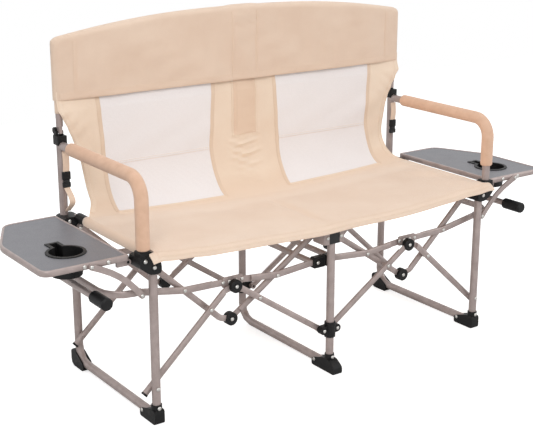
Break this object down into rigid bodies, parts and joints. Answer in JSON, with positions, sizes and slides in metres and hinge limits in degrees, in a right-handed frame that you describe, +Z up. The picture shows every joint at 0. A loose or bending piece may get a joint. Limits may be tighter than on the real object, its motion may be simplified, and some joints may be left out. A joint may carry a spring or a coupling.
{
  "type": "folding camping loveseat",
  "caption": "Two-seat folding camping chair with a scissor frame, padded arms, a hinged back panel, lock levers and drop-down side tables with cup holders.",
  "frame": {"origin": "on the floor under the middle of the seat, midway between front and back", "axes": "+X to the right as seen from the front, +Y to the back, +Z up"},
  "size_m": [1.606, 0.4762, 0.936],
  "materials": {
    "frame_metal": "satin taupe powder coat",
    "black_plastic": "satin",
    "arm_foam": "soft closed-cell foam",
    "table_panel": "satin grey",
    "cloth": "woven polyester"
  },
  "bodies": {
    "centre_legs": {"centre_leg_frame": "frame_metal", "centre_front_leg": "frame_metal", "centre_front_foot": "black_plastic"},
    "sleeves": {"centre_front_sleeve": "black_plastic", "centre_rear_sleeve": "black_plastic"},
    "centre_posts": {"centre_rail": "frame_metal", "centre_rear_post": "frame_metal", "seat_fabric": "cloth"},
    "centre_back": {"centre_back_upright": "frame_metal", "back_fabric": "cloth"},
    "left_lower_inner": {"left_front_lower_inner_brace": "frame_metal", "left_rear_lower_inner_brace": "frame_metal"},
    "left_upper_inner": {"left_front_upper_inner_brace": "frame_metal", "left_rear_upper_inner_brace": "frame_metal"},
    "left_lower_outer": {"left_front_lower_outer_brace": "frame_metal", "left_rear_lower_outer_brace": "frame_metal"},
    "left_upper_outer": {"left_front_upper_outer_brace": "frame_metal", "left_rear_upper_outer_brace": "frame_metal"},
    "left_legs": {"left_leg_frame": "frame_metal", "left_front_leg": "frame_metal", "left_front_foot": "black_plastic", "left_rear_foot": "black_plastic"},
    "left_arms": {"left_arm_tube": "frame_metal", "left_arm_foam": "arm_foam", "left_front_bracket": "black_plastic", "left_rear_bracket": "black_plastic", "left_seat_rail": "frame_metal", "left_back_hinge": "black_plastic"},
    "left_back": {"left_back_upright": "frame_metal"},
    "left_lever": {"left_lock_lever": "frame_metal", "left_lever_grip": "black_plastic"},
    "left_link": {"left_lock_link": "frame_metal"},
    "left_table": {"left_table_top": "table_panel", "left_cup_holder": "black_plastic"},
    "left_strut": {"left_table_strut": "frame_metal"},
    "right_lower_inner": {"right_front_lower_inner_brace": "frame_metal", "right_rear_lower_inner_brace": "frame_metal"},
    "right_upper_inner": {"right_front_upper_inner_brace": "frame_metal", "right_rear_upper_inner_brace": "frame_metal"},
    "right_lower_outer": {"right_front_lower_outer_brace": "frame_metal", "right_rear_lower_outer_brace": "frame_metal"},
    "right_upper_outer": {"right_front_upper_outer_brace": "frame_metal", "right_rear_upper_outer_brace": "frame_metal"},
    "right_legs": {"right_leg_frame": "frame_metal", "right_front_leg": "frame_metal", "right_front_foot": "black_plastic", "right_rear_foot": "black_plastic"},
    "right_arms": {"right_arm_tube": "frame_metal", "right_arm_foam": "arm_foam", "right_front_bracket": "black_plastic", "right_rear_bracket": "black_plastic", "right_seat_rail": "frame_metal", "right_back_hinge": "black_plastic"},
    "right_back": {"right_back_upright": "frame_metal"},
    "right_lever": {"right_lock_lever": "frame_metal", "right_lever_grip": "black_plastic"},
    "right_link": {"right_lock_link": "frame_metal"},
    "right_table": {"right_table_top": "table_panel", "right_cup_holder": "black_plastic"},
    "right_strut": {"right_table_strut": "frame_metal"}
  },
  "joints": [
    {"name": "sleeve_slide", "type": "slide", "parent": "centre_legs", "child": "sleeves", "axis": [0, 0, 1], "range_m": [-0.0199, 0]},
    {"name": "fold", "type": "hinge", "parent": "sleeves", "child": "left_lower_inner", "pos_m": [-0.022, 0, 0.118], "axis": [0, 1, 0], "range_deg": [0, 40], "deforming": ["seat_fabric", "back_fabric"]},
    {"name": "left_inner_cross", "type": "hinge", "parent": "left_lower_inner", "child": "left_upper_inner", "pos_m": [-0.214, 0, 0.248], "axis": [0, 1, 0], "range_deg": [-80, 0]},
    {"name": "left_hub", "type": "hinge", "parent": "left_lower_inner", "child": "left_lower_outer", "pos_m": [-0.2875, 0, 0.295], "axis": [0, 1, 0], "range_deg": [-80, 0]},
    {"name": "left_outer_cross", "type": "hinge", "parent": "left_lower_outer", "child": "left_upper_outer", "pos_m": [-0.361, 0, 0.248], "axis": [0, 1, 0], "range_deg": [0, 80]},
    {"name": "left_leg_pivot", "type": "hinge", "parent": "left_lower_outer", "child": "left_legs", "pos_m": [-0.532, 0, 0.091], "axis": [0, 1, 0], "range_deg": [0, 40]},
    {"name": "left_arm_pivot", "type": "hinge", "parent": "left_upper_outer", "child": "left_arms", "pos_m": [-0.532, 0, 0.405], "axis": [0, 1, 0], "range_deg": [-40, 0]},
    {"name": "centre_post_pivot", "type": "hinge", "parent": "left_upper_inner", "child": "centre_posts", "pos_m": [-0.022, 0, 0.378], "axis": [0, 1, 0], "range_deg": [0, 40]},
    {"name": "left_lever_pivot", "type": "hinge", "parent": "left_upper_outer", "child": "left_lever", "pos_m": [-0.428, 0, 0.30951], "axis": [0, 1, 0], "range_deg": [-104.51, 0]},
    {"name": "left_link_pivot", "type": "hinge", "parent": "left_upper_inner", "child": "left_link", "pos_m": [-0.15, 0, 0.29133], "axis": [0, 1, 0], "range_deg": [0, 114.76]},
    {"name": "left_table_hinge", "type": "hinge", "parent": "left_arms", "child": "left_table", "pos_m": [-0.584, 0, 0.416], "axis": [0, 1, 0], "range_deg": [-86, 0]},
    {"name": "left_strut_pivot", "type": "hinge", "parent": "left_lever", "child": "left_strut", "pos_m": [-0.558, 0, 0.332], "axis": [0, 1, 0], "range_deg": [0, 112.72]},
    {"name": "right_fold", "type": "hinge", "parent": "sleeves", "child": "right_lower_inner", "pos_m": [0.022, 0, 0.118], "axis": [0, 1, 0], "range_deg": [-40, 0]},
    {"name": "right_inner_cross", "type": "hinge", "parent": "right_lower_inner", "child": "right_upper_inner", "pos_m": [0.214, 0, 0.248], "axis": [0, 1, 0], "range_deg": [0, 80]},
    {"name": "right_hub", "type": "hinge", "parent": "right_lower_inner", "child": "right_lower_outer", "pos_m": [0.2875, 0, 0.295], "axis": [0, 1, 0], "range_deg": [0, 80]},
    {"name": "right_outer_cross", "type": "hinge", "parent": "right_lower_outer", "child": "right_upper_outer", "pos_m": [0.361, 0, 0.248], "axis": [0, 1, 0], "range_deg": [-80, 0]},
    {"name": "right_leg_pivot", "type": "hinge", "parent": "right_lower_outer", "child": "right_legs", "pos_m": [0.532, 0, 0.091], "axis": [0, 1, 0], "range_deg": [-40, 0]},
    {"name": "right_arm_pivot", "type": "hinge", "parent": "right_upper_outer", "child": "right_arms", "pos_m": [0.532, 0, 0.405], "axis": [0, 1, 0], "range_deg": [0, 40]},
    {"name": "right_lever_pivot", "type": "hinge", "parent": "right_upper_outer", "child": "right_lever", "pos_m": [0.428, 0, 0.30951], "axis": [0, 1, 0], "range_deg": [0, 104.51]},
    {"name": "right_link_pivot", "type": "hinge", "parent": "right_upper_inner", "child": "right_link", "pos_m": [0.15, 0, 0.29133], "axis": [0, 1, 0], "range_deg": [-114.76, 0]},
    {"name": "right_table_hinge", "type": "hinge", "parent": "right_arms", "child": "right_table", "pos_m": [0.584, 0, 0.416], "axis": [0, 1, 0], "range_deg": [0, 86]},
    {"name": "right_strut_pivot", "type": "hinge", "parent": "right_lever", "child": "right_strut", "pos_m": [0.558, 0, 0.332], "axis": [0, 1, 0], "range_deg": [-112.72, 0]},
    {"name": "back_fold", "type": "hinge", "parent": "left_arms", "child": "left_back", "pos_m": [-0.556, 0.222, 0.652], "axis": [-1, 0, 0], "range_deg": [0, 170]},
    {"name": "centre_back_fold", "type": "hinge", "parent": "centre_posts", "child": "centre_back", "pos_m": [0, 0.222, 0.652], "axis": [-1, 0, 0], "range_deg": [0, 170]},
    {"name": "right_back_fold", "type": "hinge", "parent": "right_arms", "child": "right_back", "pos_m": [0.556, 0.222, 0.652], "axis": [-1, 0, 0], "range_deg": [0, 170]}
  ],
  "couplings": [
    {"joint": "sleeve_slide", "follows": "fold", "m_per_rad": -0.028361},
    {"joint": "left_inner_cross", "follows": "fold", "ratio": -2},
    {"joint": "left_hub", "follows": "fold", "ratio": -2},
    {"joint": "left_outer_cross", "follows": "fold", "ratio": 2},
    {"joint": "left_leg_pivot", "follows": "fold", "ratio": 1},
    {"joint": "left_arm_pivot", "follows": "fold", "ratio": -1},
    {"joint": "centre_post_pivot", "follows": "fold", "ratio": 1},
    {"joint": "left_lever_pivot", "follows": "fold", "ratio": -2.6129},
    {"joint": "left_link_pivot", "follows": "fold", "ratio": 2.869},
    {"joint": "left_table_hinge", "follows": "fold", "ratio": -2.15},
    {"joint": "left_strut_pivot", "follows": "fold", "ratio": 2.818},
    {"joint": "right_fold", "follows": "fold", "ratio": -1},
    {"joint": "right_inner_cross", "follows": "fold", "ratio": 2},
    {"joint": "right_hub", "follows": "fold", "ratio": 2},
    {"joint": "right_outer_cross", "follows": "fold", "ratio": -2},
    {"joint": "right_leg_pivot", "follows": "fold", "ratio": -1},
    {"joint": "right_arm_pivot", "follows": "fold", "ratio": 1},
    {"joint": "right_lever_pivot", "follows": "fold", "ratio": 2.6129},
    {"joint": "right_link_pivot", "follows": "fold", "ratio": -2.869},
    {"joint": "right_table_hinge", "follows": "fold", "ratio": 2.15},
    {"joint": "right_strut_pivot", "follows": "fold", "ratio": -2.818},
    {"joint": "centre_back_fold", "follows": "back_fold", "ratio": 1},
    {"joint": "right_back_fold", "follows": "back_fold", "ratio": 1}
  ]
}
